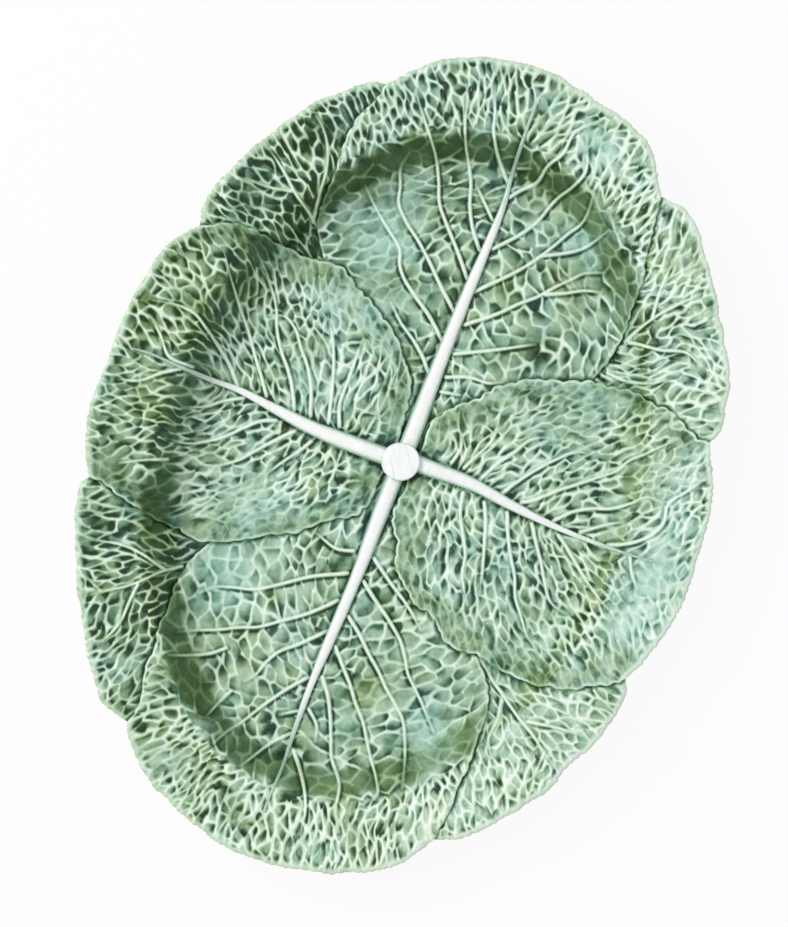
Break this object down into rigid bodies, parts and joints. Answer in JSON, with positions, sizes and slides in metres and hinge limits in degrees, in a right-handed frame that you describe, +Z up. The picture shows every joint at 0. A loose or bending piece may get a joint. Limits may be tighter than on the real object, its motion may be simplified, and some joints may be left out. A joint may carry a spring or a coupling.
{
  "type": "oval serving platter",
  "caption": "Oval dished earthenware serving platter sculpted as overlapping cabbage leaves with raised midribs, a cut stem end at the centre and a foot ring underneath.",
  "frame": {"origin": "middle of the platter's length and width, on the surface that the foot ring stands on", "axes": "+X along the length to the end at the top of the picture, +Y to the side at its left, +Z up out of the well"},
  "size_m": [0.43, 0.3201, 0.0448],
  "materials": {
    "stem_glaze": "clear gloss glaze over white clay",
    "rib_glaze": "gloss glaze, nearly clear, over white clay",
    "leaf_glaze": "translucent green gloss glaze that pools in the hollows",
    "corner_leaf_glaze": "translucent green gloss glaze that pools in the hollows",
    "foot_clay": "bare white clay, wiped clean of glaze on its underside"
  },
  "bodies": {
    "root": {"stem_end": "stem_glaze", "east_midrib": "rib_glaze", "north_midrib": "rib_glaze", "west_midrib": "rib_glaze", "south_midrib": "rib_glaze", "east_leaf": "leaf_glaze", "north_leaf": "leaf_glaze", "west_leaf": "leaf_glaze", "south_leaf": "leaf_glaze", "northeast_corner_leaf": "corner_leaf_glaze", "northwest_corner_leaf": "corner_leaf_glaze", "southwest_corner_leaf": "corner_leaf_glaze", "southeast_corner_leaf": "corner_leaf_glaze", "foot_ring": "foot_clay"}
  },
  "joints": []
}
